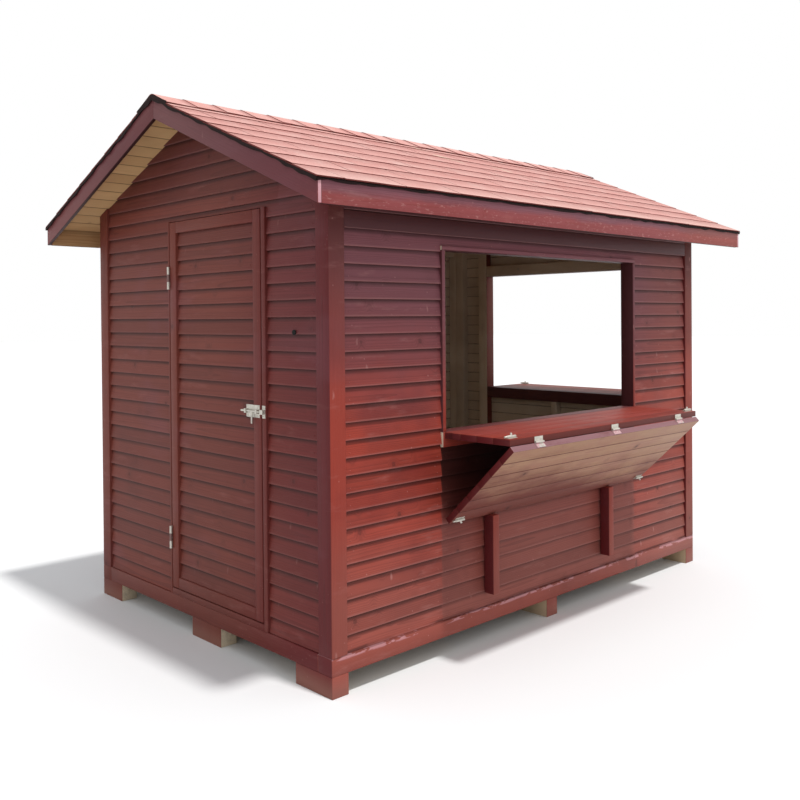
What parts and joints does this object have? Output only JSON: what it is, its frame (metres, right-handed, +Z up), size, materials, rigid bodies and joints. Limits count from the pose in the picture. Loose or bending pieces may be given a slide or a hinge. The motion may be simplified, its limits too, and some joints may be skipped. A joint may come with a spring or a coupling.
{
  "type": "street kiosk",
  "caption": "Timber kiosk with lapped siding, a shingled gable roof, a hinged door, wall hatches with fold-out counters, and a base frame raised on feet.",
  "frame": {"origin": "on the ground at the middle of the base frame, on the middle foot's underside", "axes": "+X along the serving front, away from the door; -Y out of the serving front; +Z up"},
  "size_m": [3.6263, 2.6063, 2.6079],
  "materials": {
    "stained_wood": "worn dark red stain",
    "dark_stained_wood": "dark maroon stain",
    "raw_wood": "raw planed pine",
    "shingle": "mineral granules on felt",
    "zinc": "dull zinc plating",
    "black_rubber": "matt black"
  },
  "bodies": {
    "building": {"foot_blocks": "stained_wood", "base_side_beams": "stained_wood", "base_end_beams": "stained_wood", "floor_joists": "raw_wood", "floor_deck": "raw_wood", "corner_posts": "stained_wood", "sole_plates": "raw_wood", "top_plates": "raw_wood", "wall_studs": "raw_wood", "front_siding_sides": "stained_wood", "front_siding_above_hatch": "stained_wood", "siding_below_hatches": "stained_wood", "rear_siding": "stained_wood", "end_wall_siding": "stained_wood", "gable_siding": "stained_wood", "frieze_boards": "stained_wood", "eave_blocks": "raw_wood", "hatch_jambs": "dark_stained_wood", "hatch_rails": "dark_stained_wood", "door_jambs": "stained_wood", "door_stops": "dark_stained_wood", "door_threshold": "stained_wood", "ridge_beam": "raw_wood", "rafters": "raw_wood", "roof_sheathing_front": "raw_wood", "roof_sheathing_rear": "raw_wood", "eave_fascias": "stained_wood", "bargeboards": "stained_wood", "shingles_front": "shingle", "shingles_rear": "shingle", "ridge_cap": "shingle", "counter_leaves": "stained_wood", "brace_leaves": "stained_wood", "counter_battens": "stained_wood", "shutter_hinges": "zinc", "shutter_bolts": "zinc", "frame_hinge_leaves": "zinc", "latch_keeper": "zinc", "cable_grommet": "black_rubber"},
    "door": {"door_stiles": "stained_wood", "door_rails": "stained_wood", "door_panel": "stained_wood", "door_hinge_leaves": "zinc", "latch_plate": "zinc"},
    "latch_bolt": {"latch_bolt": "zinc"}
  },
  "joints": [
    {"name": "door_swing", "type": "hinge", "parent": "building", "child": "door", "pos_m": [-1.507, 0.2425, 0], "axis": [0, 0, -1], "range_deg": [0, 170]},
    {"name": "latch_slide", "type": "slide", "parent": "door", "child": "latch_bolt", "axis": [0, -1, 0], "range_m": [0, 0.026]}
  ]
}
